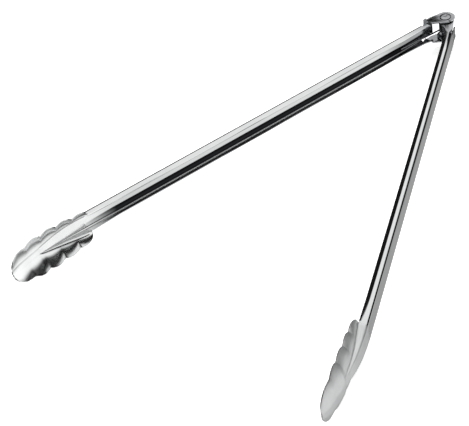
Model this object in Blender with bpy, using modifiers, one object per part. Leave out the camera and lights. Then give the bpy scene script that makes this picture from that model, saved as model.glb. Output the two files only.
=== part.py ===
"""Sprung scoop tongs: two pressed sheet arms on one rivet, held open by a coil spring.

Metres, +Z up. The tongs lie on their side, so the rivet stands upright. The hinge is at +Y and the
scoops point towards -Y. Each arm is drawn in its own flat plan: s runs from the rivet to the tip,
o runs outwards, away from the other arm, and z is the height above the middle of the arm.
"""
from math import cos, pi, radians, sin, tan

import bmesh
import bpy
from mathutils import Vector

# Whole tongs
OPENING = radians(37.8)          # angle between the arms when they rest on the stop
ARM_LENGTH = 0.4970              # rivet to scoop tip
PIVOT_Y = 0.2313415              # puts the middle of the whole box on the origin
MID_Z = 0.0215641                # the scoops' widest lobes touch the table
SHEET = 0.0010

# Channel section
WEB_OUT = 0.0108                 # outer face of the channel's back, from the arm's axis
CHANNEL_DEPTH = 0.0076
HALF_WIDTH_HINGE = 0.0096
HALF_WIDTH_SCOOP = 0.0098
CORNER_RADIUS = 0.0034
CORNER_STEPS = 4
LIP_WIDTH = 0.0038
LIP_TURN = radians(20)
CHANNEL_START = 0.0240
TONGUE_END = 0.0085              # the back runs on between the ears as far as this
LIP_START = 0.0440               # the flanges' edges are folded in between these two places
LIP_STOP = 0.4060
CHANNEL_END = 0.4130

# Scoop
SCOOP_START = 0.4150
LOBE_PITCH = 0.0158
LOBE_COUNT = 4
LOBE_RISE = 0.0031
ROWS_PER_LOBE = 7
WING_STEPS = 5
# distance along the arm, with rim offset, back offset, half width between lobes, rib height
RIM_LINE = ((0.4150, 0.0026), (0.4185, 0.0014), (0.4308, 0.0000), (0.4466, -0.0005),
            (0.4624, -0.0017), (0.4782, -0.0029), (0.4880, -0.0044), (0.4970, -0.0064))
BACK_LINE = ((0.4150, 0.0108), (0.4308, 0.0101), (0.4466, 0.0083), (0.4624, 0.0051),
             (0.4782, 0.0011), (0.4880, -0.0019), (0.4970, -0.0058))
WIDTH_LINE = ((0.4150, 0.0112), (0.4162, 0.0134), (0.4190, 0.0149), (0.4308, 0.0166),
              (0.4466, 0.0182), (0.4624, 0.0185), (0.4782, 0.0173), (0.4870, 0.0156),
              (0.4900, 0.0138), (0.4932, 0.0110), (0.4952, 0.0082), (0.4964, 0.0058),
              (0.4970, 0.0034))
RIB_LINE = ((0.4150, 0.0076), (0.4230, 0.0067), (0.4316, 0.0054), (0.4482, 0.0031),
            (0.4590, 0.0017), (0.4640, 0.0008), (0.4665, 0.0), (0.4970, 0.0))
RIB_END = 0.4665                 # the rib has faded into the bowl here
RIB_HALF_END = 0.0036            # half width of the rib where it fades out

# Ears round the rivet
HOLE_RADIUS = 0.0033
EAR_RADIUS = 0.0088
EAR_ARC_STEPS = 14
OUTER_EAR_RISE = 0.0020          # the left arm's ears step out over the right arm's
STEP_START = 0.0185
STEP_END = 0.0165
LUG_HEIGHT = 0.0042
LUG_LENGTH = 0.0034

# Hinge hardware
RIVET_RADIUS = 0.0030
RIVET_HEAD_RADIUS = 0.0056
RIVET_HEAD_HEIGHT = 0.0012
DIMPLE_RADIUS = 0.0014
DIMPLE_DEPTH = 0.0006
GAP = 0.0003
THRUST_WASHER = 0.0004
BURR_WASHER = 0.0007
WASHER_RADIUS = 0.0066
SLEEVE_WALL = 0.0011
COIL_RADIUS = 0.0058
WIRE_RADIUS = 0.00085
COIL_TURNS = 4
COIL_HALF_HEIGHT = 0.0046
LEG_LENGTH = 0.0520
ROUND_STEPS = 40


def clear_scene():
    """Remove every object that the start-up scene brings."""
    for obj in list(bpy.data.objects):
        bpy.data.objects.remove(obj, do_unlink=True)


def new_collection(name):
    """Make a collection under the scene."""
    made = bpy.data.collections.new(name)
    bpy.context.scene.collection.children.link(made)
    return made


def finish(name, colour, roughness):
    """Make a Principled metal."""
    made = bpy.data.materials.new(name)
    made.use_nodes = True
    shader = made.node_tree.nodes["Principled BSDF"]
    shader.inputs["Base Color"].default_value = (*colour, 1.0)
    shader.inputs["Metallic"].default_value = 1.0
    shader.inputs["Roughness"].default_value = roughness
    return made


def add_object(name, data, home, material=None):
    """Link a new object into one of the collections."""
    obj = bpy.data.objects.new(name, data)
    home.objects.link(obj)
    if material is not None:
        data.materials.append(material)
    return obj


def line_value(line, x):
    """Read a smooth curve through the points of a line, flat beyond its ends."""
    if x <= line[0][0]:
        return line[0][1]
    if x >= line[-1][0]:
        return line[-1][1]
    for i in range(len(line) - 1):
        x0, y0 = line[i]
        x1, y1 = line[i + 1]
        if x <= x1:
            xa, ya = line[i - 1] if i > 0 else (x0, y0)
            xb, yb = line[i + 2] if i + 2 < len(line) else (x1, y1)
            slope0 = (y1 - ya) / (x1 - xa)
            slope1 = (yb - y0) / (xb - x0)
            run = x1 - x0
            t = (x - x0) / run
            return ((1 + 2 * t) * (1 - t) ** 2 * y0 + t * (1 - t) ** 2 * run * slope0
                    + t * t * (3 - 2 * t) * y1 + t * t * (t - 1) * run * slope1)
    return line[-1][1]


def half_width(s):
    """Half the channel's width, which narrows a little towards the scoop."""
    t = (s - CHANNEL_START) / (CHANNEL_END - CHANNEL_START)
    t = min(max(t, 0.0), 1.0)
    return HALF_WIDTH_HINGE + (HALF_WIDTH_SCOOP - HALF_WIDTH_HINGE) * t


def rib_points(base, back, half, lip=0.0):
    """Half of the U section from its free edge to the middle of its back, as (o, z)."""
    height = back - base
    radius = min(CORNER_RADIUS, 0.45 * height)
    width = min(LIP_WIDTH, 0.5 * height)
    points = [(base, half - lip * width * tan(LIP_TURN)), (base + width, half)]
    for i in range(CORNER_STEPS + 1):
        turn = 0.5 * pi * i / CORNER_STEPS
        points.append((back - radius + radius * sin(turn), half - radius + radius * cos(turn)))
    return points


def rim_half_width(s):
    """Half width of the scoop at its rim, lobes included."""
    width = line_value(WIDTH_LINE, s)
    run = (s - SCOOP_START) / LOBE_PITCH
    if run <= LOBE_COUNT:
        lift = abs(sin(pi * run)) ** 0.75
        return width + LOBE_RISE * lift * min(1.0, 0.55 + 0.45 * run)
    nose_start = SCOOP_START + LOBE_COUNT * LOBE_PITCH
    rest = (s - nose_start) / (ARM_LENGTH - nose_start)
    return width + 0.0012 * sin(pi * min(rest, 1.0)) ** 0.75


def scoop_rows():
    """Distances along the arm of the scoop's cross sections."""
    rows = [SCOOP_START, SCOOP_START + 0.0006]
    for lobe in range(LOBE_COUNT):
        for step in range(1, ROWS_PER_LOBE + 1):
            t = 0.5 - 0.5 * cos(pi * step / ROWS_PER_LOBE)
            rows.append(SCOOP_START + LOBE_PITCH * (lobe + 0.35 * t + 0.65 * step / ROWS_PER_LOBE))
    start = rows[-1]
    for t in (0.16, 0.34, 0.52, 0.68, 0.80, 0.89, 0.95, 0.985, 1.0):
        rows.append(start + (ARM_LENGTH - start) * t)
    return rows


def scoop_half(s):
    """Half of a scoop section from the rim to the middle, as (o, z)."""
    rim = line_value(RIM_LINE, s)
    back = line_value(BACK_LINE, s)
    rib = line_value(RIB_LINE, s)
    edge = rim_half_width(s)
    fade = min(max((s - SCOOP_START) / (RIB_END - SCOOP_START), 0.0), 1.0)
    foot = HALF_WIDTH_SCOOP + (RIB_HALF_END - HALF_WIDTH_SCOOP) * fade ** 1.6
    foot = min(foot, 0.55 * edge) if s > RIB_END else foot
    bowl = back - rib
    depth = bowl - rim
    points = []
    for i in range(WING_STEPS):
        t = 1.0 - i / WING_STEPS
        z = foot + (edge - foot) * t
        points.append((rim + depth * (1.0 - t ** 2.0), z))
    points.extend(rib_points(bowl, back, foot) if rib > 0.0003 else flat_middle(bowl, back, foot))
    return points


def flat_middle(bowl, back, foot):
    """The middle of a section beyond the end of the rib, with as many points as a rib has."""
    points = [(bowl, foot)]
    for i in range(CORNER_STEPS + 2):
        t = (i + 1) / (CORNER_STEPS + 3)
        points.append((bowl + (back - bowl) * t + 0.00035 * (1 - (1 - t) ** 2), foot * (1 - 0.75 * t)))
    return points


def mirror_half(points):
    """Complete a half section: the half itself at +z, then its mirror image at -z."""
    return points + [(o, -z) for o, z in reversed(points)]


class ArmFrame:
    """Turns an arm's own s, o, z into the world for one side."""

    def __init__(self, side):
        half = OPENING / 2
        self.along = Vector((side * sin(half), -cos(half), 0.0))
        self.out = Vector((side * cos(half), sin(half), 0.0))

    def point(self, s, o, z):
        """World place of a point of the arm."""
        return self.along * s + self.out * o + Vector((0.0, PIVOT_Y, MID_Z + z))


def arm_skin(side):
    """The outer face of one arm as an open mesh: channel, scoop and the ears' plates."""
    frame = ArmFrame(side)
    mesh = bmesh.new()

    def vert(s, o, z):
        return mesh.verts.new(frame.point(s, o, z))

    def strip(first, second):
        for a, b, c, d in zip(first, first[1:], second[1:], second):
            mesh.faces.new((a, b, c, d))

    channel = []
    for s, lip in ((CHANNEL_START, 0.0), (LIP_START, 1.0), (LIP_STOP, 1.0), (CHANNEL_END, 0.0)):
        section = mirror_half(rib_points(WEB_OUT - CHANNEL_DEPTH, WEB_OUT, half_width(s), lip))
        channel.append([vert(s, o, z) for o, z in section])
    for first, second in zip(channel, channel[1:]):
        strip(first, second)

    rib_count = CORNER_STEPS + 3
    upper, lower = channel[0][rib_count - 1:rib_count + 1]
    flat = half_width(CHANNEL_START) - CORNER_RADIUS
    mesh.faces.new((upper, lower, vert(TONGUE_END, WEB_OUT, -flat), vert(TONGUE_END, WEB_OUT, flat)))

    previous = channel[-1]
    for index, s in enumerate(scoop_rows()):
        row = [vert(s, o, z) for o, z in mirror_half(scoop_half(s))]
        if index == 0:
            inner = row[WING_STEPS:WING_STEPS + 2 * rib_count]
            strip(previous, inner)
        else:
            strip(previous, row)
        previous = row

    for up, row_ends in ((1, channel[0][:3]), (-1, channel[0][:-4:-1])):
        add_ear(mesh, vert, row_ends, up, side < 0)
    bmesh.ops.recalc_face_normals(mesh, faces=mesh.faces)
    return mesh


def ear_outline(reach):
    """Points round the rivet end of an ear, from the free edge's side to the back's side."""
    points = []
    first = radians(-62)
    last = radians(-278)
    for i in range(EAR_ARC_STEPS + 1):
        turn = first + (last - first) * i / EAR_ARC_STEPS
        points.append((reach * cos(turn), reach * sin(turn)))
    return points


def add_ear(mesh, vert, ends, up, outer):
    """Add one flat ear to the skin. The left arm's ears step outwards first."""
    width = half_width(CHANNEL_START)
    edge, fold, corner = ends
    if not outer:
        outline = [edge]
        outline += [vert(0.0175, 0.0027, up * width)]
        outline += [vert(s, o, up * width) for s, o in ear_outline(EAR_RADIUS)]
        outline += [vert(0.0100, 0.0096, up * width), vert(0.0165, 0.0101, up * width), corner, fold]
        mesh.faces.new(outline)
        return
    foot_in = vert(STEP_START, 0.0018, up * width)
    foot_out = vert(STEP_START, 0.0104, up * width)
    mesh.faces.new((edge, foot_in, foot_out, corner, fold))
    high = width + OUTER_EAR_RISE
    head_in = vert(STEP_END, 0.0010, up * high)
    head_out = vert(STEP_END, 0.0110, up * high)
    mesh.faces.new((foot_in, head_in, head_out, foot_out))
    outline = [head_in]
    outline += [vert(s, o, up * high) for s, o in ear_outline(EAR_RADIUS + 0.0008)]
    outline += [vert(0.0098, 0.0114, up * high), head_out]
    mesh.faces.new(outline)


def to_object(name, mesh, home, material=None, smooth=False):
    """Turn a bmesh into a named object."""
    if smooth:
        for face in mesh.faces:
            face.smooth = True
    data = bpy.data.meshes.new(name)
    mesh.to_mesh(data)
    mesh.free()
    return add_object(name, data, home, material)


def cylinder_cutter(name, radius, low, high, home):
    """A round cutter on the rivet's axis."""
    mesh = bmesh.new()
    bmesh.ops.create_cone(mesh, cap_ends=True, segments=ROUND_STEPS, radius1=radius, radius2=radius,
                          depth=high - low)
    bmesh.ops.translate(mesh, verts=mesh.verts, vec=(0.0, PIVOT_Y, MID_Z + (low + high) / 2))
    cutter = to_object(name, mesh, home)
    cutter.hide_render = True
    cutter.display_type = "WIRE"
    return cutter


def add_cut(obj, cutter, operation="DIFFERENCE"):
    """Give an object one exact Boolean."""
    cut = obj.modifiers.new("cut", "BOOLEAN")
    cut.operation = operation
    cut.solver = "EXACT"
    cut.object = cutter


def make_arm(name, side, home, cutters, material):
    """One pressed arm: the skin given its thickness inwards, with the rivet hole through both ears."""
    arm = to_object(name, arm_skin(side), home, material)
    wall = arm.modifiers.new("sheet", "SOLIDIFY")
    wall.thickness = SHEET
    wall.offset = -1.0
    wall.use_even_offset = True
    wall.use_quality_normals = True
    if side < 0:
        lug = box_on_arm("lug_form", side, (STEP_END - 0.0002, STEP_END - 0.0002 + LUG_LENGTH),
                         (0.0094, 0.0104), (half_width(0) - SHEET + 0.0003, half_width(0) + LUG_HEIGHT),
                         cutters)
        add_cut(arm, lug, "UNION")
    add_cut(arm, cylinder_cutter(name + "_hole", HOLE_RADIUS, -0.02, 0.02, cutters))
    return arm


def box_on_arm(name, side, s_range, o_range, z_range, home):
    """A box lined up with an arm, used to shape it."""
    frame = ArmFrame(side)
    mesh = bmesh.new()
    corners = [mesh.verts.new(frame.point(s, o, z)) for s in s_range for o in o_range for z in z_range]
    for face in ((0, 1, 3, 2), (4, 6, 7, 5), (0, 4, 5, 1), (2, 3, 7, 6), (0, 2, 6, 4), (1, 5, 7, 3)):
        mesh.faces.new([corners[i] for i in face])
    bmesh.ops.recalc_face_normals(mesh, faces=mesh.faces)
    made = to_object(name, mesh, home)
    made.hide_render = True
    made.display_type = "WIRE"
    return made


def turned(name, profile, home, material):
    """A round piece turned about the rivet's axis from a profile of (radius, height)."""
    data = bpy.data.meshes.new(name)
    verts = [(r, 0.0, z) for r, z in profile]
    edges = [(i, i + 1) for i in range(len(profile) - 1)]
    if profile[0][0] > 0.0:
        edges.append((len(profile) - 1, 0))
    data.from_pydata(verts, edges, [])
    obj = add_object(name, data, home, material)
    obj.location = (0.0, PIVOT_Y, MID_Z)
    spin = obj.modifiers.new("turn", "SCREW")
    spin.steps = ROUND_STEPS
    spin.render_steps = ROUND_STEPS
    spin.use_merge_vertices = True
    spin.merge_threshold = 0.00001
    spin.use_smooth_shade = True
    return obj


def ring(name, inner, outer, low, high, home, material):
    """A flat ring or a sleeve."""
    profile = ((outer, high), (outer, low), (inner, low), (inner, high))
    return turned(name, profile, home, material)


def make_rivet(home, material, top, bottom):
    """The rivet: dimpled low head above, shank, and formed end below."""
    head = RIVET_HEAD_RADIUS
    tall = RIVET_HEAD_HEIGHT
    profile = ((0.0, top + tall - DIMPLE_DEPTH),
               (0.6 * DIMPLE_RADIUS, top + tall - 0.8 * DIMPLE_DEPTH),
               (DIMPLE_RADIUS, top + tall),
               (0.62 * head, top + 0.94 * tall),
               (0.88 * head, top + 0.62 * tall),
               (head, top + 0.16 * tall),
               (0.98 * head, top),
               (RIVET_RADIUS, top),
               (RIVET_RADIUS, bottom),
               (0.86 * head, bottom),
               (0.88 * head, bottom - 0.2 * tall),
               (0.7 * head, bottom - 0.75 * tall),
               (0.4 * head, bottom - tall),
               (0.0, bottom - tall))
    return turned("pivot_rivet", profile, home, material)


def spring_path():
    """Centre line of the spring: left leg, coil, right leg."""
    points = []
    half = OPENING / 2
    left = ArmFrame(-1)
    right = ArmFrame(1)
    lift = WEB_OUT - SHEET - WIRE_RADIUS - GAP
    low = -COIL_HALF_HEIGHT
    high = COIL_HALF_HEIGHT
    for t in (1.0, 0.5, 0.12):
        s = LEG_LENGTH * t
        points.append(left.point(s, COIL_RADIUS + (lift - COIL_RADIUS) * t, low))
    start = pi - half
    total = -(2 * pi * COIL_TURNS + pi - 2 * half)
    steps = 22 * COIL_TURNS
    for i in range(steps + 1):
        turn = start + total * i / steps
        z = low + (high - low) * i / steps
        centre = Vector((COIL_RADIUS * cos(turn), COIL_RADIUS * sin(turn), z))
        points.append(centre + Vector((0.0, PIVOT_Y, MID_Z)))
    for t in (0.12, 0.5, 1.0):
        s = LEG_LENGTH * t
        points.append(right.point(s, COIL_RADIUS + (lift - COIL_RADIUS) * t, high))
    return points


def make_spring(home, material):
    """The torsion spring as a round wire along its centre line."""
    points = spring_path()
    data = bpy.data.curves.new("torsion_spring", "CURVE")
    data.dimensions = "3D"
    data.bevel_depth = WIRE_RADIUS
    data.bevel_resolution = 1
    data.use_fill_caps = True
    wire = data.splines.new("POLY")
    wire.points.add(len(points) - 1)
    for knot, place in zip(wire.points, points):
        knot.co = (*place, 1.0)
    return add_object("torsion_spring", data, home, material)


def main():
    """Build the tongs."""
    clear_scene()
    home = new_collection("scoop_tongs")
    cutters = new_collection("cutters")
    sheet = finish("polished_stainless_sheet", (0.62, 0.62, 0.61), 0.12)
    turned_steel = finish("turned_steel", (0.5, 0.5, 0.5), 0.25)
    washer_steel = finish("plated_washer", (0.55, 0.55, 0.54), 0.3)
    wire_steel = finish("spring_wire", (0.35, 0.35, 0.36), 0.3)
    make_arm("left_arm", -1, home, cutters, sheet)
    make_arm("right_arm", 1, home, cutters, sheet)
    inner_ear = half_width(0)
    outer_ear = inner_ear + OUTER_EAR_RISE
    bore = RIVET_RADIUS + GAP
    low = inner_ear + GAP
    ring("thrust_washer_top", bore, WASHER_RADIUS, low, low + THRUST_WASHER, home, washer_steel)
    ring("thrust_washer_bottom", bore, WASHER_RADIUS, -low - THRUST_WASHER, -low, home, washer_steel)
    seat = inner_ear - SHEET - GAP
    ring("spacer_sleeve", bore, bore + SLEEVE_WALL, -seat, seat, home, washer_steel)
    burr = -outer_ear - GAP
    ring("rivet_washer", bore, WASHER_RADIUS, burr - BURR_WASHER, burr, home, washer_steel)
    make_rivet(home, turned_steel, outer_ear + GAP, burr - BURR_WASHER - GAP)
    make_spring(home, wire_steel)


main()
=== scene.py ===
"""Looks of the sprung scoop tongs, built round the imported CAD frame.

Metres, +Z up, same frame as the CAD. Each arm is drawn in its own plan: s runs from the rivet to the
tip, o runs outwards, away from the other arm, and z is the height above the middle of the arm.
"""
import logging
from collections.abc import Callable
from dataclasses import dataclass, field
from enum import Enum
from math import cos, pi, radians, sin, tan

import bmesh
import bpy
from mathutils import Matrix, Vector


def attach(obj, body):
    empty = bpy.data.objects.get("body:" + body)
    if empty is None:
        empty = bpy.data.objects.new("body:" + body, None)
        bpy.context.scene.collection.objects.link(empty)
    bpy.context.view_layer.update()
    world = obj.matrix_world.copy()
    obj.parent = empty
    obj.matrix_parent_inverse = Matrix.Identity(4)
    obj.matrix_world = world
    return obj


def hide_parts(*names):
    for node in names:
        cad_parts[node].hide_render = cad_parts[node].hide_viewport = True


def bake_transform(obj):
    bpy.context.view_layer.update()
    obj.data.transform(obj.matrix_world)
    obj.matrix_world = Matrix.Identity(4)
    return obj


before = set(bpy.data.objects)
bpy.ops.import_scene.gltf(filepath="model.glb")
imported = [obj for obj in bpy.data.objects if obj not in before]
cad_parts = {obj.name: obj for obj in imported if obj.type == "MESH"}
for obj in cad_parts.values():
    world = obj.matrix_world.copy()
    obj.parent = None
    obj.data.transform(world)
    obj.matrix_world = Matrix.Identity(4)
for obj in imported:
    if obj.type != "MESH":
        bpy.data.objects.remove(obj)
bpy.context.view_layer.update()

logging.basicConfig(level=logging.INFO, format="%(message)s")
log = logging.getLogger("tongs")

Line = tuple[tuple[float, float], ...]
Point2 = tuple[float, float]
Verts = list[bmesh.types.BMVert]
MakeVert = Callable[[float, float, float], bmesh.types.BMVert]


class Side(Enum):
    """Which arm: the sign of its own X direction."""

    LEFT = -1
    RIGHT = 1


# ---------------------------------------------------------------- small tools


def linear(hex_colour: str) -> tuple[float, float, float, float]:
    """Turn an sRGB hex colour into linear light.

    Args:
        hex_colour: six hex digits, with or without a leading #.

    Returns:
        Linear red, green, blue and an alpha of 1.
    """
    digits = hex_colour.lstrip("#")
    channels = [int(digits[i:i + 2], 16) / 255 for i in (0, 2, 4)]
    bent = [c / 12.92 if c <= 0.04045 else ((c + 0.055) / 1.055) ** 2.4 for c in channels]
    return bent[0], bent[1], bent[2], 1.0


def add_node(tree: bpy.types.NodeTree, kind: str, settings: dict | None = None,
             links: dict | None = None) -> bpy.types.Node:
    """Add a node with its settings, constant inputs and links.

    Args:
        tree: the node tree.
        kind: the node's type name.
        settings: attribute values, or input values where the key is a socket name or number.
        links: input socket name or number to an output socket.

    Returns:
        The new node.
    """
    node = tree.nodes.new(kind)
    for key, value in (settings or {}).items():
        if isinstance(key, int) or key in node.inputs:
            node.inputs[key].default_value = value
        else:
            setattr(node, key, value)
    for key, source in (links or {}).items():
        tree.links.new(source, node.inputs[key])
    return node


def ramp(tree: bpy.types.NodeTree, source: bpy.types.NodeSocket, edge: tuple[float, float],
         levels: tuple[float, float]) -> bpy.types.NodeSocket:
    """Ease from one level to another while a value crosses an edge.

    Args:
        tree: the node tree.
        source: the value to read.
        edge: where the change starts and ends.
        levels: the result before and after it.

    Returns:
        The eased value.
    """
    node = add_node(tree, "ShaderNodeMapRange",
                    {"interpolation_type": "SMOOTHSTEP", "From Min": edge[0], "From Max": edge[1],
                     "To Min": levels[0], "To Max": levels[1]}, {0: source})
    return node.outputs[0]


def smooth(low: float, high: float, x: float) -> float:
    """Rise smoothly from 0 at low to 1 at high."""
    t = min(max((x - low) / (high - low), 0.0), 1.0)
    return t * t * (3 - 2 * t)


def line_value(line: Line, x: float) -> float:
    """Read a smooth curve through the points of a line, flat beyond its ends.

    Args:
        line: points as (place, value), in rising order of place.
        x: the place to read.

    Returns:
        The value there.
    """
    if x <= line[0][0]:
        return line[0][1]
    if x >= line[-1][0]:
        return line[-1][1]
    index = max(i for i in range(len(line) - 1) if line[i][0] <= x)
    x0, y0 = line[index]
    x1, y1 = line[index + 1]
    xa, ya = line[max(index - 1, 0)]
    xb, yb = line[min(index + 2, len(line) - 1)]
    slope0 = (y1 - ya) / (x1 - xa)
    slope1 = (yb - y0) / (xb - x0)
    run = x1 - x0
    t = (x - x0) / run
    return ((1 + 2 * t) * (1 - t) ** 2 * y0 + t * (1 - t) ** 2 * run * slope0
            + t * t * (3 - 2 * t) * y1 + t * t * (t - 1) * run * slope1)


def plain_mesh(obj: bpy.types.Object) -> bpy.types.Object:
    """Apply an object's modifiers and clear them.

    Args:
        obj: the object to flatten.

    Returns:
        The same object with a plain mesh.
    """
    bpy.context.view_layer.update()
    graph = bpy.context.evaluated_depsgraph_get()
    finished = bpy.data.meshes.new_from_object(obj.evaluated_get(graph), depsgraph=graph)
    finished.name = obj.name
    obj.modifiers.clear()
    obj.data = finished
    return obj


def link_object(name: str, data: bpy.types.ID) -> bpy.types.Object:
    """Make an object in the scene's own collection.

    Args:
        name: the object's name.
        data: its mesh, light or camera.

    Returns:
        The new object.
    """
    obj = bpy.data.objects.new(name, data)
    bpy.context.scene.collection.objects.link(obj)
    return obj


def from_bmesh(name: str, shape: bmesh.types.BMesh) -> bpy.types.Object:
    """Turn a bmesh into an object and free it.

    Args:
        name: the object's name.
        shape: the bmesh, which can't be used afterwards.

    Returns:
        The new object.
    """
    data = bpy.data.meshes.new(name)
    shape.to_mesh(data)
    shape.free()
    return link_object(name, data)


def shade(obj: bpy.types.Object, sharp_degrees: float = 32.0) -> None:
    """Shade a mesh smooth, with creases where its faces turn sharply."""
    obj.data.shade_smooth()
    obj.data.set_sharp_from_angle(angle=radians(sharp_degrees))


# ------------------------------------------------------------------- finishes


@dataclass(frozen=True)
class PolishedSheet:
    """Cold-rolled stainless sheet, pressed and tumble polished.

    The eye sees near-mirror reflections that waver a little along the arm where the rollers and the
    press have left the sheet uneven, with a satin bloom on the ears and in the scoops.
    """

    name: str = "polished_stainless_sheet"
    colour: str = "#E9EAE9"
    shadow_colour: str = "#D6D8D9"
    # painted shade: the dark colour for the inner corners, folds and hinge end
    painted_shade_colour: str = "#2B2C2E"
    ear_colour: str = "#A9ABAD"
    polish_roughness: float = 0.075
    satin_roughness: float = 0.50
    wave_mm: float = 21.0
    wave_height_mm: float = 0.05
    grain_mm: float = 0.55
    grain_stretch: float = 14.0
    grain_height_mm: float = 0.02
    cloud_mm: float = 17.0

    def build(self) -> bpy.types.Material:
        """Make the material.

        Returns:
            The material, which reads the arm's own plan and zone attributes.
        """
        made = bpy.data.materials.new(self.name)
        made.use_nodes = True
        tree = made.node_tree
        shader = tree.nodes["Principled BSDF"]
        shader.inputs["Metallic"].default_value = 1.0
        plan = add_node(tree, "ShaderNodeAttribute", {"attribute_name": "plan"})
        zone = add_node(tree, "ShaderNodeAttribute", {"attribute_name": "zone"})
        # grain runs along the arm, so it is stretched in s
        along = add_node(tree, "ShaderNodeMapping",
                         {"Scale": (1.0 / self.grain_stretch, 1.0, 1.0)}, {0: plan.outputs["Vector"]})
        grain = add_node(tree, "ShaderNodeTexNoise",
                         {"Scale": 1000.0 / self.grain_mm, "Detail": 3.0, "Roughness": 0.6},
                         {"Vector": along.outputs[0]})
        cloud = add_node(tree, "ShaderNodeTexNoise",
                         {"Scale": 1000.0 / self.cloud_mm, "Detail": 4.0, "Roughness": 0.55},
                         {"Vector": plan.outputs["Vector"]})
        wave = add_node(tree, "ShaderNodeTexNoise",
                        {"Scale": 1000.0 / self.wave_mm, "Detail": 1.0, "Roughness": 0.4},
                        {"Vector": plan.outputs["Vector"]})
        tint = add_node(tree, "ShaderNodeMix", {"data_type": "RGBA"}, {0: cloud.outputs["Fac"]})
        tint.inputs[6].default_value = linear(self.shadow_colour)
        tint.inputs[7].default_value = linear(self.colour)
        # painted shade: a dark colour laid into the inner corners, under the folds and near the hinge, where
        # shade falls
        painted_shade = add_node(tree, "ShaderNodeAttribute", {"attribute_name": "painted_shade"})
        painted_shade_mix = add_node(tree, "ShaderNodeMix", {"data_type": "RGBA"},
                          {0: painted_shade.outputs["Fac"], 6: tint.outputs[2]})
        painted_shade_mix.inputs[7].default_value = linear(self.painted_shade_colour)
        dull = add_node(tree, "ShaderNodeAttribute", {"attribute_name": "dull"})
        dulled = add_node(tree, "ShaderNodeMix", {"data_type": "RGBA"},
                          {0: dull.outputs["Fac"], 6: painted_shade_mix.outputs[2]})
        dulled.inputs[7].default_value = linear(self.ear_colour)
        tree.links.new(dulled.outputs[2], shader.inputs["Base Color"])
        base = add_node(tree, "ShaderNodeMapRange",
                        {"From Min": 0.0, "From Max": 1.0, "To Min": self.polish_roughness,
                         "To Max": self.satin_roughness}, {0: zone.outputs["Fac"]})
        spread = add_node(tree, "ShaderNodeMapRange",
                          {"From Min": 0.3, "From Max": 0.7, "To Min": 0.8, "To Max": 1.25},
                          {0: grain.outputs["Fac"]})
        rough = add_node(tree, "ShaderNodeMath", {"operation": "MULTIPLY"},
                         {0: base.outputs[0], 1: spread.outputs[0]})
        tree.links.new(rough.outputs[0], shader.inputs["Roughness"])
        waver = add_node(tree, "ShaderNodeBump",
                         {"Strength": 1.0, "Distance": self.wave_height_mm / 1000},
                         {"Height": wave.outputs["Fac"]})
        scratch = add_node(tree, "ShaderNodeMapRange",
                           {"From Min": 0.0, "From Max": 1.0, "To Min": 0.04, "To Max": 0.35},
                           {0: zone.outputs["Fac"]})
        lines = add_node(tree, "ShaderNodeBump", {"Distance": self.grain_height_mm / 1000},
                         {"Height": grain.outputs["Fac"], "Strength": scratch.outputs[0],
                          "Normal": waver.outputs[0]})
        tree.links.new(lines.outputs[0], shader.inputs["Normal"])
        return made


@dataclass(frozen=True)
class TurnedSteel:
    """Small steel part, headed, stamped or drawn.

    The eye sees a duller grey than the sheet, with fine rings or rub marks that break the highlight.
    """

    name: str
    colour: str = "#BFC0C1"
    dark: str = "#8F9193"
    roughness: float = 0.26
    mark_mm: float = 0.7
    mark_height_mm: float = 0.02
    soil_mm: float = 6.0

    def build(self) -> bpy.types.Material:
        """Make the material.

        Returns:
            The material, on Object coordinates.
        """
        made = bpy.data.materials.new(self.name)
        made.use_nodes = True
        tree = made.node_tree
        shader = tree.nodes["Principled BSDF"]
        shader.inputs["Metallic"].default_value = 1.0
        place = add_node(tree, "ShaderNodeTexCoord")
        marks = add_node(tree, "ShaderNodeTexNoise",
                         {"Scale": 1000.0 / self.mark_mm, "Detail": 3.0, "Roughness": 0.6},
                         {"Vector": place.outputs["Object"]})
        soil = add_node(tree, "ShaderNodeTexNoise",
                        {"Scale": 1000.0 / self.soil_mm, "Detail": 2.0}, {"Vector": place.outputs["Object"]})
        tint = add_node(tree, "ShaderNodeMix", {"data_type": "RGBA"}, {0: soil.outputs["Fac"]})
        tint.inputs[6].default_value = linear(self.dark)
        tint.inputs[7].default_value = linear(self.colour)
        tree.links.new(tint.outputs[2], shader.inputs["Base Color"])
        rough = add_node(tree, "ShaderNodeMapRange",
                         {"From Min": 0.3, "From Max": 0.7, "To Min": 0.75 * self.roughness,
                          "To Max": 1.3 * self.roughness}, {0: marks.outputs["Fac"]})
        tree.links.new(rough.outputs[0], shader.inputs["Roughness"])
        bump = add_node(tree, "ShaderNodeBump",
                        {"Strength": 0.6, "Distance": self.mark_height_mm / 1000},
                        {"Height": marks.outputs["Fac"]})
        tree.links.new(bump.outputs[0], shader.inputs["Normal"])
        return made


# ----------------------------------------------------------------- the arms


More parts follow.
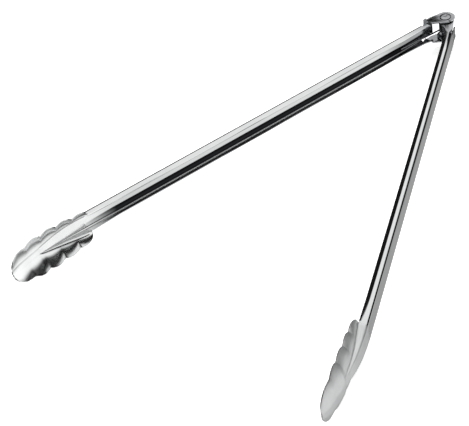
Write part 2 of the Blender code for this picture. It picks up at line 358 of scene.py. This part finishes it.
@dataclass
class PressedArm:
    """One arm pressed from a single sheet: ears, U channel and scalloped scoop."""

    side: Side
    opening: float = radians(37.8)
    length: float = 0.4970
    pivot: Vector = field(default_factory=lambda: Vector((0.0, 0.2313415, 0.0215641)))
    sheet: float = 0.0010
    edge_round: float = 0.00022
    # channel
    back_face: float = 0.0108
    depth: float = 0.0076
    half_hinge: float = 0.0096
    half_scoop: float = 0.0098
    corner: float = 0.0034
    corner_steps: int = 10
    channel_start: float = 0.0240
    tongue_end: float = 0.0085
    channel_end: float = 0.4130
    channel_rows: int = 14
    lip_width: float = 0.0038
    lip_turn: float = radians(20)
    lip_radius: float = 0.0016
    lip_steps: int = 5
    # scoop
    scoop_start: float = 0.4150
    lobe_pitch: float = 0.0158
    lobes: int = 4
    lobe_rise: float = 0.0031
    rows_per_lobe: int = 16
    nose_rows: int = 18
    wing_steps: int = 13
    rib_end: float = 0.4665
    rib_half_end: float = 0.0036
    rim_line: Line = ((0.4150, 0.0026), (0.4185, 0.0014), (0.4308, 0.0000), (0.4466, -0.0005),
                      (0.4624, -0.0017), (0.4782, -0.0029), (0.4880, -0.0044), (0.4970, -0.0064))
    back_line: Line = ((0.4150, 0.0108), (0.4308, 0.0101), (0.4466, 0.0083), (0.4624, 0.0051),
                       (0.4782, 0.0011), (0.4880, -0.0019), (0.4970, -0.0058))
    width_line: Line = ((0.4150, 0.0112), (0.4162, 0.0134), (0.4190, 0.0149), (0.4308, 0.0166),
                        (0.4466, 0.0182), (0.4624, 0.0185), (0.4782, 0.0173), (0.4870, 0.0156),
                        (0.4900, 0.0138), (0.4932, 0.0110), (0.4952, 0.0082), (0.4964, 0.0058),
                        (0.4970, 0.0034))
    rib_line: Line = ((0.4150, 0.0076), (0.4230, 0.0067), (0.4316, 0.0054), (0.4482, 0.0031),
                      (0.4590, 0.0017), (0.4640, 0.0008), (0.4665, 0.0), (0.4970, 0.0))
    # ears
    hole: float = 0.0033
    ear_radius: float = 0.0088
    ear_steps: int = 32
    outer_rise: float = 0.0020
    step_start: float = 0.0185
    step_end: float = 0.0165
    ear_extra: float = 0.0008
    ear_waist: Point2 = (0.0175, 0.0027)
    ear_shoulders: Line = ((0.0100, 0.0096), (0.0165, 0.0101))
    foot_span: Point2 = (0.0018, 0.0104)
    head_span: Point2 = (0.0010, 0.0110)
    head_shoulder: Point2 = (0.0098, 0.0114)
    lug_span: Point2 = (0.0094, 0.0104)
    lug_height: float = 0.0042
    lug_length: float = 0.0034
    # finish and painted shade: stretches over which each one fades, as s unless said otherwise
    ear_edge: Point2 = (0.0235, 0.0260)
    ear_satin: float = 0.22
    ear_dull: float = 0.8
    bowl_edge: Point2 = (-0.004, 0.006)      # counted from the scoop's start
    bowl_inner_satin: float = 0.28
    # painted shade: where the dark colour of the inner corners, folds and hinge end fades
    shade_height: Point2 = (0.0016, 0.0021)  # z
    shade_depth: Point2 = (0.0086, 0.0092)   # o
    fold_depth: Point2 = (0.0050, 0.0058)    # o
    shade_start: Point2 = (0.030, 0.036)
    shade_stop: Point2 = (0.4080, 0.4140)
    hinge_edge: Point2 = (0.040, 0.072)
    hinge_shade: float = 0.9

    @property
    def name(self) -> str:
        """The CAD node that this arm stands for."""
        return "left_arm" if self.side is Side.LEFT else "right_arm"

    @property
    def body(self) -> str:
        """The CAD body that it rides on."""
        return "left" if self.side is Side.LEFT else "right"

    @property
    def along(self) -> Vector:
        """Unit direction from the rivet to the tip."""
        return Vector((self.side.value * sin(self.opening / 2), -cos(self.opening / 2), 0.0))

    @property
    def out(self) -> Vector:
        """Unit direction away from the other arm."""
        return Vector((self.side.value * cos(self.opening / 2), sin(self.opening / 2), 0.0))

    def place(self, s: float, o: float, z: float) -> Vector:
        """World place of a point of the arm."""
        return self.pivot + self.along * s + self.out * o + Vector((0.0, 0.0, z))

    def plan(self, point: Vector) -> Vector:
        """A world point in the arm's own s, o, z."""
        step = point - self.pivot
        return Vector((step.dot(self.along), step.dot(self.out), step.z))

    def half_width(self, s: float) -> float:
        """Half the channel's width, which widens a little towards the scoop."""
        t = min(max((s - self.channel_start) / (self.channel_end - self.channel_start), 0.0), 1.0)
        return self.half_hinge + (self.half_scoop - self.half_hinge) * t

    def rib_half(self, base: float, back: float, half: float, lip: float) -> list[Point2]:
        """Half of the U section, from its free edge to the middle of its back.

        Args:
            base: place of the free edge, as o.
            back: place of the back's outer face, as o.
            half: half of the width.
            lip: how far the free edge is curled in, from 0 to 1.

        Returns:
            Points as (o, z).
        """
        height = back - base
        radius = min(self.corner, 0.45 * height)
        width = min(self.lip_width, 0.5 * height)
        bend = min(self.lip_radius * sin(self.lip_turn), 0.5 * width)
        straight = width - bend
        fall = self.lip_radius * (1 - cos(self.lip_turn))
        points = [(base, half - lip * (fall + straight * tan(self.lip_turn)))]
        for i in range(self.lip_steps):
            t = i / (self.lip_steps - 1)
            points.append((base + straight + bend * t, half - lip * fall * (1 - t) ** 2))
        for i in range(self.corner_steps + 1):
            turn = 0.5 * pi * i / self.corner_steps
            points.append((back - radius + radius * sin(turn), half - radius + radius * cos(turn)))
        # two more along the back, where the painted shade of the inner corner begins
        points.append((back, 0.40 * (half - radius)))
        points.append((back, 0.28 * (half - radius)))
        return points

    def rim_half_width(self, s: float) -> float:
        """Half width of the scoop at its rim, lobes included.

        Args:
            s: distance along the arm.

        Returns:
            The half width there.
        """
        width = line_value(self.width_line, s)
        run = (s - self.scoop_start) / self.lobe_pitch
        if run <= self.lobes:
            lift = abs(sin(pi * run)) ** 0.75
            return width + self.lobe_rise * lift * min(1.0, 0.55 + 0.45 * run)
        nose = self.length - self.scoop_start - self.lobes * self.lobe_pitch
        rest = (s - self.scoop_start - self.lobes * self.lobe_pitch) / nose
        return width + 0.0012 * sin(pi * min(rest, 1.0)) ** 0.75

    def scoop_rows(self) -> list[float]:
        """Place the scoop's cross sections, closest at the cusps and the tip.

        Returns:
            Distances along the arm, rising.
        """
        rows = [self.scoop_start, self.scoop_start + 0.0003, self.scoop_start + 0.0007,
                self.scoop_start + 0.0012]
        for lobe in range(self.lobes):
            for step in range(1, self.rows_per_lobe + 1):
                even = step / self.rows_per_lobe
                eased = 0.5 - 0.5 * cos(pi * even)
                rows.append(self.scoop_start + self.lobe_pitch * (lobe + 0.6 * eased + 0.4 * even))
        rows = [s for i, s in enumerate(rows) if i < 4 or s > rows[3] + 0.0003]
        start = rows[-1]
        for step in range(1, self.nose_rows + 1):
            t = step / self.nose_rows
            rows.append(start + (self.length - start) * (1 - (1 - t) ** 2.2))
        return rows

    def scoop_half(self, s: float) -> list[Point2]:
        """Half of a scoop section from the rim to the middle.

        Args:
            s: distance along the arm.

        Returns:
            Points as (o, z).
        """
        rim = line_value(self.rim_line, s)
        back = line_value(self.back_line, s)
        rib = max(line_value(self.rib_line, s), 0.0)
        edge = self.rim_half_width(s)
        fade = min(max((s - self.scoop_start) / (self.rib_end - self.scoop_start), 0.0), 1.0)
        foot = self.half_scoop + (self.rib_half_end - self.half_scoop) * fade ** 1.6
        if s > self.rib_end:
            foot = min(foot, 0.55 * edge)
        bowl = back - rib
        depth = bowl - rim
        points = []
        for i in range(self.wing_steps):
            t = 1.0 - i / self.wing_steps
            points.append((rim + depth * (1.0 - t ** 2.0), foot + (edge - foot) * t))
        foot_index = len(points)
        if rib > 0.00025:
            points.extend(self.rib_half(bowl, back, foot, 0.0))
            # the press leaves a small radius where the rib meets the wing
            for _ in range(3):
                before = list(points)
                for i in range(foot_index - 1, foot_index + 3):
                    points[i] = tuple(0.25 * before[i - 1][k] + 0.5 * before[i][k]
                                      + 0.25 * before[i + 1][k] for k in (0, 1))
        else:
            count = self.lip_steps + self.corner_steps + 4
            for i in range(count):
                t = i / count
                points.append((bowl + 0.00030 * (1 - (1 - t) ** 2), foot * (1 - 0.9 * t)))
        return points

    @staticmethod
    def whole(half: list[Point2]) -> list[Point2]:
        """Complete a half section with its mirror image."""
        return half + [(o, -z) for o, z in reversed(half)]

    def ear_arc(self, reach: float) -> list[Point2]:
        """Points round the rivet end of an ear.

        Args:
            reach: the ear's radius.

        Returns:
            Points as (s, o), from the free edge's side to the back's side.
        """
        first, last = radians(-62), radians(-278)
        return [(reach * cos(first + (last - first) * i / self.ear_steps),
                 reach * sin(first + (last - first) * i / self.ear_steps))
                for i in range(self.ear_steps + 1)]

    def skin(self) -> bmesh.types.BMesh:
        """Draw the outer face of the sheet as one open surface.

        Returns:
            The surface, faces outwards.
        """
        shape = bmesh.new()

        def vert(s: float, o: float, z: float) -> bmesh.types.BMVert:
            """Add a vertex at the arm's own s, o, z."""
            return shape.verts.new(self.place(s, o, z))

        def strip(first: Verts, second: Verts) -> None:
            """Join two rows of vertices with a strip of faces."""
            for a, b, c, d in zip(first, first[1:], second[1:], second):
                shape.faces.new((a, b, c, d))

        rows = []
        for i in range(self.channel_rows + 1):
            s = self.channel_start + (self.channel_end - self.channel_start) * i / self.channel_rows
            lip = smooth(self.channel_start - 0.001, self.channel_start + 0.022, s)
            lip *= 1 - smooth(self.channel_end - 0.008, self.channel_end, s)
            base = self.back_face - self.depth
            section = self.whole(self.rib_half(base, self.back_face, self.half_width(s), lip))
            rows.append([vert(s, o, z) for o, z in section])
        for first, second in zip(rows, rows[1:]):
            strip(first, second)
        # the flat of the back runs on between the ears as a tongue
        flat_from = self.lip_steps + 1 + self.corner_steps
        root = rows[0][flat_from:-flat_from]
        heights = [self.plan(v.co).z for v in root]
        strip([vert(self.tongue_end, self.back_face, z) for z in heights], root)
        previous = rows[-1]
        count = len(previous)
        for index, s in enumerate(self.scoop_rows()):
            row = [vert(s, o, z) for o, z in self.whole(self.scoop_half(s))]
            strip(previous, row[self.wing_steps:self.wing_steps + count] if index == 0 else row)
            previous = row
        flat = self.lip_steps + 2
        self.add_ear(shape, vert, rows[0][:flat], 1)
        self.add_ear(shape, vert, rows[0][::-1][:flat], -1)
        bmesh.ops.recalc_face_normals(shape, faces=shape.faces)
        return shape

    def add_ear(self, shape: bmesh.types.BMesh, vert: MakeVert, ends: Verts, up: int) -> None:
        """Add one ear to the skin; the left arm's ears step outwards first.

        Args:
            shape: the skin so far.
            vert: makes a vertex from s, o, z.
            ends: the flange's end vertices, from its free edge to its corner.
            up: 1 for the upper ear, -1 for the lower.
        """
        width = self.half_hinge
        if self.side is Side.RIGHT:
            outline = [ends[0], vert(*self.ear_waist, up * width)]
            outline += [vert(s, o, up * width) for s, o in self.ear_arc(self.ear_radius)]
            outline += [vert(s, o, up * width) for s, o in self.ear_shoulders]
            shape.faces.new(outline + ends[:0:-1])
            return
        foot_in, foot_out = (vert(self.step_start, o, up * width) for o in self.foot_span)
        shape.faces.new([ends[0], foot_in, foot_out] + ends[:0:-1])
        high = width + self.outer_rise
        head_in, head_out = (vert(self.step_end, o, up * high) for o in self.head_span)
        shape.faces.new((foot_in, head_in, head_out, foot_out))
        outline = [head_in]
        outline += [vert(s, o, up * high) for s, o in self.ear_arc(self.ear_radius + self.ear_extra)]
        outline += [vert(*self.head_shoulder, up * high), head_out]
        shape.faces.new(outline)

    def lug_form(self) -> bpy.types.Object:
        """Make the upright lug at the step of the left arm.

        Returns:
            A solid to join on.
        """
        shape = bmesh.new()
        start = self.step_end - 0.0002
        corners = [shape.verts.new(self.place(s, o, z))
                   for s in (start, start + self.lug_length)
                   for o in self.lug_span
                   for z in (self.half_hinge - self.sheet + 0.0003, self.half_hinge + self.lug_height)]
        for face in ((0, 1, 3, 2), (4, 6, 7, 5), (0, 4, 5, 1), (2, 3, 7, 6), (0, 2, 6, 4), (1, 5, 7, 3)):
            shape.faces.new([corners[i] for i in face])
        bmesh.ops.recalc_face_normals(shape, faces=shape.faces)
        return from_bmesh("lug_form", shape)

    def hole_form(self) -> bpy.types.Object:
        """Make a round cutter for the rivet holes.

        Returns:
            The cutter, on the rivet's axis.
        """
        shape = bmesh.new()
        bmesh.ops.create_cone(shape, cap_ends=True, segments=64, radius1=self.hole,
                              radius2=self.hole, depth=0.06)
        bmesh.ops.translate(shape, verts=shape.verts, vec=self.pivot)
        return from_bmesh("hole_form", shape)

    def build(self, material: bpy.types.Material) -> bpy.types.Object:
        """Make the finished arm and put it on its body.

        Args:
            material: the sheet's finish.

        Returns:
            The arm.
        """
        arm = from_bmesh(self.name + "_sheet", self.skin())
        wall = arm.modifiers.new("wall", "SOLIDIFY")
        wall.thickness = self.sheet
        wall.offset = -1.0
        wall.use_even_offset = True
        wall.use_quality_normals = True
        forms = []
        if self.side is Side.LEFT:
            forms.append((self.lug_form(), "UNION"))
        forms.append((self.hole_form(), "DIFFERENCE"))
        for form, operation in forms:
            cut = arm.modifiers.new(operation.lower(), "BOOLEAN")
            cut.operation = operation
            cut.solver = "EXACT"
            cut.object = form
        soften = arm.modifiers.new("soften", "BEVEL")
        soften.width = self.edge_round
        soften.segments = 2
        soften.limit_method = "ANGLE"
        soften.angle_limit = radians(50)
        plain_mesh(arm)
        for form, _ in forms:
            bpy.data.objects.remove(form, do_unlink=True)
        self.write_plan(arm)
        shade(arm)
        arm.data.materials.clear()
        arm.data.materials.append(material)
        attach(arm, self.body)
        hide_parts(self.name)
        log.info("%s: %d faces", arm.name, len(arm.data.polygons))
        return arm

    def write_plan(self, arm: bpy.types.Object) -> None:
        """Store each point's own s, o, z on the mesh, with how satin and dull it is and how much painted
        shade darkens it.

        Args:
            arm: the finished arm.
        """
        data = arm.data
        data.attributes.new("plan", "FLOAT_VECTOR", "POINT")
        for name in ("zone", "painted_shade", "dull"):
            data.attributes.new(name, "FLOAT", "POINT")
        # fetched after all are made, since making one moves the others in memory
        plan, zone, painted_shade, dull = (data.attributes[n] for n in ("plan", "zone", "painted_shade", "dull"))
        for i, vertex in enumerate(data.vertices):
            own = self.plan(vertex.co)
            turned = Vector((vertex.normal.dot(self.along), vertex.normal.dot(self.out), vertex.normal.z))
            plan.data[i].vector = own
            inside = self.faces_inwards(own, turned)
            ear = 1 - smooth(*self.ear_edge, own.x)
            bowl = smooth(*(self.scoop_start + edge for edge in self.bowl_edge), own.x)
            zone.data[i].value = max(self.ear_satin * ear,
                                     bowl * (self.bowl_inner_satin if inside else 1.0))
            dull.data[i].value = self.ear_dull * ear
            # painted shade on the inner side of the sheet
            painted_shade.data[i].value = self.painted_shade_amount(own) if inside else 0.0

    def faces_inwards(self, own: Vector, normal: Vector) -> bool:
        """Whether a point of the sheet is on the inner side.

        Args:
            own: the point's s, o, z.
            normal: its normal along s, o and z.

        Returns:
            True on the side that faces the other arm or the channel's hollow.
        """
        if own.x > self.scoop_start:
            return normal.y < -0.25
        hollow = self.back_face - 0.5 * self.depth
        return normal.y * (hollow - own.y) - normal.z * own.z > 0.0

    def painted_shade_amount(self, own: Vector) -> float:
        """How much painted shade darkens the inside of the sheet, from 0 to 1.

        Args:
            own: the point's s, o, z.

        Returns:
            1 in the inner corners, under the folded edges and all over near the hinge, where shade falls.
        """
        height = abs(own.z)
        corner = smooth(*self.shade_height, height) * smooth(*self.shade_depth, own.y)
        fold = 1 - smooth(*self.fold_depth, own.y)
        channel = smooth(*self.shade_start, own.x) * (1 - smooth(*self.shade_stop, own.x))
        hinge_end = 1 - smooth(*self.hinge_edge, own.x)
        return max(channel * max(corner, fold), self.hinge_shade * hinge_end)


# ------------------------------------------------------------- hinge hardware


@dataclass
class TurnedPiece:
    """A round piece turned about the rivet's axis from a profile of (radius, height)."""

    node: str
    slot: str
    profile: tuple[Point2, ...]
    pivot: Vector
    steps: int = 72
    edge_round: float = 0.00012

    def build(self, material: bpy.types.Material) -> bpy.types.Object:
        """Make the piece and put it on the left arm's body.

        Args:
            material: its finish.

        Returns:
            The piece.
        """
        shape = bmesh.new()
        rings = []
        for radius, height in self.profile:
            centre = self.pivot + Vector((0.0, 0.0, height))
            if radius == 0.0:
                rings.append([shape.verts.new(centre)])
                continue
            rings.append([shape.verts.new(centre + Vector((radius * cos(2 * pi * i / self.steps),
                                                           radius * sin(2 * pi * i / self.steps), 0.0)))
                          for i in range(self.steps)])
        pairs = list(zip(rings, rings[1:]))
        if self.profile[0][0] > 0.0:
            pairs.append((rings[-1], rings[0]))
        for upper, lower in pairs:
            for i in range(self.steps):
                j = (i + 1) % self.steps
                corners = [upper[i % len(upper)], lower[i % len(lower)],
                           lower[j % len(lower)], upper[j % len(upper)]]
                shape.faces.new(list(dict.fromkeys(corners)))
        bmesh.ops.recalc_face_normals(shape, faces=shape.faces)
        piece = from_bmesh(self.node + "_turned", shape)
        soften = piece.modifiers.new("soften", "BEVEL")
        soften.width = self.edge_round
        soften.segments = 2
        soften.limit_method = "ANGLE"
        soften.angle_limit = radians(50)
        plain_mesh(piece)
        shade(piece)
        piece.data.materials.clear()
        piece.data.materials.append(material)
        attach(piece, "left")
        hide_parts(self.node)
        log.info("%s: %d faces", piece.name, len(piece.data.polygons))
        return piece


@dataclass
class HingeStack:
    """Rivet, washers and sleeve, stacked on the hinge axis."""

    arm: PressedArm
    gap: float = 0.0003
    rivet_radius: float = 0.0030
    head_radius: float = 0.0056
    head_height: float = 0.0012
    dimple_radius: float = 0.0014
    dimple_depth: float = 0.0006
    thrust: float = 0.0004
    burr: float = 0.0007
    washer_radius: float = 0.0066
    sleeve_wall: float = 0.0011

    def ring(self, outer: float, low: float, high: float) -> tuple[Point2, ...]:
        """Draw a ring whose bore clears the rivet.

        Args:
            outer: its outer radius.
            low: height of its lower face.
            high: height of its upper face.

        Returns:
            Its profile.
        """
        bore = self.rivet_radius + self.gap
        return (outer, high), (outer, low), (bore, low), (bore, high)

    def rivet(self, top: float, bottom: float) -> tuple[Point2, ...]:
        """Draw the rivet, dimpled head above and formed end below.

        Args:
            top: height of the head's seat.
            bottom: height of the formed end's seat.

        Returns:
            Its profile.
        """
        head, tall, dimple = self.head_radius, self.head_height, self.dimple_radius
        return ((0.0, top + tall - self.dimple_depth),
                (0.35 * dimple, top + tall - 0.97 * self.dimple_depth),
                (0.7 * dimple, top + tall - 0.66 * self.dimple_depth),
                (0.95 * dimple, top + tall - 0.1 * self.dimple_depth),
                (1.1 * dimple, top + tall),
                (0.5 * head, top + 0.985 * tall),
                (0.72 * head, top + 0.86 * tall),
                (0.88 * head, top + 0.62 * tall),
                (0.97 * head, top + 0.32 * tall),
                (head, top + 0.10 * tall),
                (0.98 * head, top),
                (self.rivet_radius, top),
                (self.rivet_radius, bottom),
                (0.86 * head, bottom),
                (0.88 * head, bottom - 0.2 * tall),
                (0.8 * head, bottom - 0.55 * tall),
                (0.62 * head, bottom - 0.84 * tall),
                (0.4 * head, bottom - tall),
                (0.0, bottom - tall))

    def build(self, rivet: bpy.types.Material, washer: bpy.types.Material) -> None:
        """Make every piece of the stack.

        Args:
            rivet: the rivet's finish.
            washer: the washers' and sleeve's finish.
        """
        inner = self.arm.half_hinge
        outer = inner + self.arm.outer_rise
        low = inner + self.gap
        seat = inner - self.arm.sheet - self.gap
        burr = -outer - self.gap
        radius = self.washer_radius
        sleeve = self.rivet_radius + self.gap + self.sleeve_wall
        stack = {
            "thrust_washer_top": self.ring(radius, low, low + self.thrust),
            "thrust_washer_bottom": self.ring(radius, -low - self.thrust, -low),
            "spacer_sleeve": self.ring(sleeve, -seat, seat),
            "rivet_washer": self.ring(radius, burr - self.burr, burr),
        }
        for node, profile in stack.items():
            TurnedPiece(node, "washer_steel", profile, self.arm.pivot).build(washer)
        shank = self.rivet(outer + self.gap, burr - self.burr - self.gap)
        TurnedPiece("pivot_rivet", "rivet_steel", shank, self.arm.pivot).build(rivet)


@dataclass
class TorsionSpring:
    """The coil spring round the sleeve, with a leg in each channel."""

    left: PressedArm
    right: PressedArm
    coil_radius: float = 0.0058
    wire: float = 0.00085
    turns: int = 4
    half_height: float = 0.0046
    leg: float = 0.0520
    gap: float = 0.0003
    points_per_turn: int = 48
    wire_sides: int = 16

    def path(self) -> list[Vector]:
        """Draw the wire's centre line: left leg, coil, right leg.

        Returns:
            Points along it.
        """
        lift = self.left.back_face - self.left.sheet - self.wire - self.gap
        rise = lift - self.coil_radius
        legs = (1.0, 0.85, 0.7, 0.55, 0.4, 0.28, 0.18, 0.10, 0.05)
        points = [self.left.place(self.leg * t, self.coil_radius + rise * t, -self.half_height)
                  for t in legs]
        half = self.left.opening / 2
        total = -(2 * pi * self.turns + pi - 2 * half)
        steps = self.points_per_turn * self.turns
        for i in range(steps + 1):
            turn = pi - half + total * i / steps
            height = -self.half_height + 2 * self.half_height * i / steps
            points.append(self.left.pivot + Vector((self.coil_radius * cos(turn),
                                                    self.coil_radius * sin(turn), height)))
        points += [self.right.place(self.leg * t, self.coil_radius + rise * t, self.half_height)
                   for t in reversed(legs)]
        return points

    def tree(self, material: bpy.types.Material) -> bpy.types.NodeTree:
        """Geometry Nodes that turn the path into round wire.

        Args:
            material: the wire's finish.

        Returns:
            The node group, with inputs named Wire Radius and Wire Sides.
        """
        group = bpy.data.node_groups.new("wire_along_path", "GeometryNodeTree")
        group.interface.new_socket("Geometry", in_out="INPUT", socket_type="NodeSocketGeometry")
        radius = group.interface.new_socket("Wire Radius", in_out="INPUT", socket_type="NodeSocketFloat")
        sides = group.interface.new_socket("Wire Sides", in_out="INPUT", socket_type="NodeSocketInt")
        radius.default_value = self.wire
        sides.default_value = self.wire_sides
        group.interface.new_socket("Geometry", in_out="OUTPUT", socket_type="NodeSocketGeometry")
        entry = add_node(group, "NodeGroupInput")
        line = add_node(group, "GeometryNodeMeshToCurve", links={0: entry.outputs["Geometry"]})
        ring = add_node(group, "GeometryNodeCurvePrimitiveCircle",
                        links={"Resolution": entry.outputs["Wire Sides"],
                               "Radius": entry.outputs["Wire Radius"]})
        tube = add_node(group, "GeometryNodeCurveToMesh", {"Fill Caps": True},
                        {"Curve": line.outputs[0], "Profile Curve": ring.outputs[0]})
        smoothed = add_node(group, "GeometryNodeSetShadeSmooth", links={0: tube.outputs[0]})
        solid = add_node(group, "GeometryNodeRealizeInstances", links={0: smoothed.outputs[0]})
        dressed = add_node(group, "GeometryNodeSetMaterial", {"Material": material},
                           {0: solid.outputs[0]})
        add_node(group, "NodeGroupOutput", links={0: dressed.outputs[0]})
        return group

    def build(self, material: bpy.types.Material) -> bpy.types.Object:
        """Make the spring.

        Args:
            material: the wire's finish.

        Returns:
            The spring.
        """
        points = self.path()
        data = bpy.data.meshes.new("torsion_spring_wire")
        data.from_pydata(points, [(i, i + 1) for i in range(len(points) - 1)], [])
        spring = link_object("torsion_spring_wire", data)
        group = self.tree(material)
        winder = spring.modifiers.new("wire", "NODES")
        winder.node_group = group
        named = {item.name: item.identifier for item in group.interface.items_tree
                 if item.in_out == "INPUT"}
        winder[named["Wire Radius"]] = self.wire
        winder[named["Wire Sides"]] = self.wire_sides
        plain_mesh(spring)
        shape = bmesh.new()
        shape.from_mesh(spring.data)
        bmesh.ops.remove_doubles(shape, verts=shape.verts, dist=1e-7)
        bmesh.ops.recalc_face_normals(shape, faces=shape.faces)
        shape.to_mesh(spring.data)
        shape.free()
        shade(spring, 50.0)
        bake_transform(spring)
        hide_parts("torsion_spring")
        log.info("%s: %d faces", spring.name, len(spring.data.polygons))
        return spring


# ---------------------------------------------------------------- the studio


@dataclass
class Studio:
    """Pale floor, soft light and the camera."""

    pivot: Vector
    azimuth: float = 43.65
    elevation: float = 40.31
    roll: float = -11.76
    distance: float = 0.9835
    aim: Point2 = (-0.0285, -0.3241)
    lens: float = 88.18
    sensor: float = 36.0
    paper_half_size: float = 6.0
    paper_glow: float = 0.62
    # world light by direction: each edge is a stretch of z, x or y, each level a brightness
    dark: float = 0.010
    tent_edge: Point2 = (0.36, 0.46)
    west_lean: float = 0.545
    west_edge: Point2 = (0.20, 0.28)
    table_edge: Point2 = (-0.12, -0.40)
    north_edge: Point2 = (-0.42, -0.12)
    north_levels: Point2 = (0.05, 1.0)
    far_edge: Point2 = (0.2, 0.6)
    far_levels: Point2 = (0.09, 0.38)
    east_edge: Point2 = (0.25, 0.65)
    east_level: float = 1.10
    seen_level: float = 0.96

    def camera(self) -> None:
        """Place the camera in front of the scoops, looking down at the tongs."""
        az, el, roll = radians(self.azimuth), radians(self.elevation), radians(self.roll)
        back = Vector((sin(az) * cos(el), -cos(az) * cos(el), sin(el)))
        right = Vector((cos(az), sin(az), 0.0))
        up = back.cross(right)
        turned_right = right * cos(roll) + up * sin(roll)
        turned_up = up * cos(roll) - right * sin(roll)
        target = self.pivot + Vector((self.aim[0], self.aim[1], 0.0))
        spot = target + back * self.distance
        data = bpy.data.cameras.new("camera")
        data.lens = self.lens
        data.sensor_width = self.sensor
        data.clip_start = 0.01
        obj = link_object("camera", data)
        turn = Matrix((turned_right, turned_up, back)).transposed().to_4x4()
        obj.matrix_world = Matrix.Translation(spot) @ turn
        bpy.context.scene.camera = obj

    def floor(self) -> None:
        """A plain pale floor."""
        shape = bmesh.new()
        bmesh.ops.create_grid(shape, x_segments=1, y_segments=1, size=self.paper_half_size)
        obj = from_bmesh("floor", shape)
        made = bpy.data.materials.new("pale_paper")
        made.use_nodes = True
        shader = made.node_tree.nodes["Principled BSDF"]
        shader.inputs["Base Color"].default_value = linear("#F4F4F4")
        shader.inputs["Roughness"].default_value = 0.9
        shader.inputs["Emission Color"].default_value = linear("#FFFFFF")
        shader.inputs["Emission Strength"].default_value = self.paper_glow
        obj.data.materials.append(made)
        # the steel mirrors the dark room under the light tent, not the paper
        obj.visible_glossy = False

    def world(self) -> None:
        """A light tent above, a dark band at the horizon and a pale table below, brightest to the east."""
        world = bpy.data.worlds.new("light_tent")
        bpy.context.scene.world = world
        world.use_nodes = True
        tree = world.node_tree
        background = tree.nodes["Background"]
        place = add_node(tree, "ShaderNodeTexCoord")
        split = add_node(tree, "ShaderNodeSeparateXYZ", links={0: place.outputs["Generated"]})
        lit = (self.dark, 1.0)
        tent = ramp(tree, split.outputs["Z"], self.tent_edge, lit)
        # the tent's edge is higher on the west side
        slope = add_node(tree, "ShaderNodeVectorMath",
                         {"operation": "DOT_PRODUCT", 1: (self.west_lean, 0.0, 1.0)},
                         {0: place.outputs["Generated"]})
        west = ramp(tree, slope.outputs["Value"], self.west_edge, lit)
        sky = add_node(tree, "ShaderNodeMath", {"operation": "MINIMUM"}, {0: tent, 1: west})
        below = ramp(tree, split.outputs["Z"], self.table_edge, (0.0, 1.0))
        north = ramp(tree, split.outputs["X"], self.north_edge, self.north_levels)
        far = ramp(tree, split.outputs["Y"], self.far_edge, self.far_levels)
        east = ramp(tree, split.outputs["X"], self.east_edge, (0.0, self.east_level))
        grey = add_node(tree, "ShaderNodeMath", {"operation": "MULTIPLY"}, {0: north, 1: far})
        pale = add_node(tree, "ShaderNodeMath", {"operation": "ADD"}, {0: grey.outputs[0], 1: east})
        table = add_node(tree, "ShaderNodeMath", {"operation": "MULTIPLY"},
                         {0: below, 1: pale.outputs[0]})
        both = add_node(tree, "ShaderNodeMath", {"operation": "ADD"},
                        {0: sky.outputs[0], 1: table.outputs[0]})
        ray = add_node(tree, "ShaderNodeLightPath")
        level = add_node(tree, "ShaderNodeMix", {"data_type": "FLOAT", 3: self.seen_level},
                         {0: ray.outputs["Is Camera Ray"], 2: both.outputs[0]})
        tree.links.new(level.outputs[0], background.inputs["Color"])
        background.inputs["Strength"].default_value = 1.0

    def lights(self) -> None:
        """Two soft boxes, which light the floor."""
        for name, spot, size, power in (("top_box", (-0.5, 0.6, 1.3), 1.0, 9.0),
                                        ("side_box", (-1.2, -0.3, 0.9), 0.7, 4.0)):
            data = bpy.data.lights.new(name, "AREA")
            data.shape = "SQUARE"
            data.size = size
            data.energy = power
            obj = link_object(name, data)
            obj.location = spot
            # the boxes light the floor only, so that no flat face mirrors a lamp
            obj.visible_glossy = False
            obj.rotation_euler = (Vector(spot)).to_track_quat("Z", "Y").to_euler()

    def build(self) -> None:
        """Set up the whole studio."""
        self.camera()
        self.floor()
        self.world()
        self.lights()
        bpy.context.scene.view_settings.view_transform = "Standard"


def main() -> None:
    """Build the arms, the hinge, the spring and the studio."""
    left = PressedArm(Side.LEFT)
    right = PressedArm(Side.RIGHT)
    sheet = PolishedSheet().build()
    rivet = TurnedSteel("headed_steel_rivet").build()
    washer = TurnedSteel("stamped_steel_washer", colour="#C9CACB", roughness=0.3).build()
    wire = TurnedSteel("drawn_spring_wire", colour="#9A9C9E", dark="#6F7173", roughness=0.22).build()
    left.build(sheet)
    right.build(sheet)
    HingeStack(left).build(rivet, washer)
    TorsionSpring(left, right).build(wire)
    Studio(left.pivot).build()


if __name__ == "__main__":
    main()
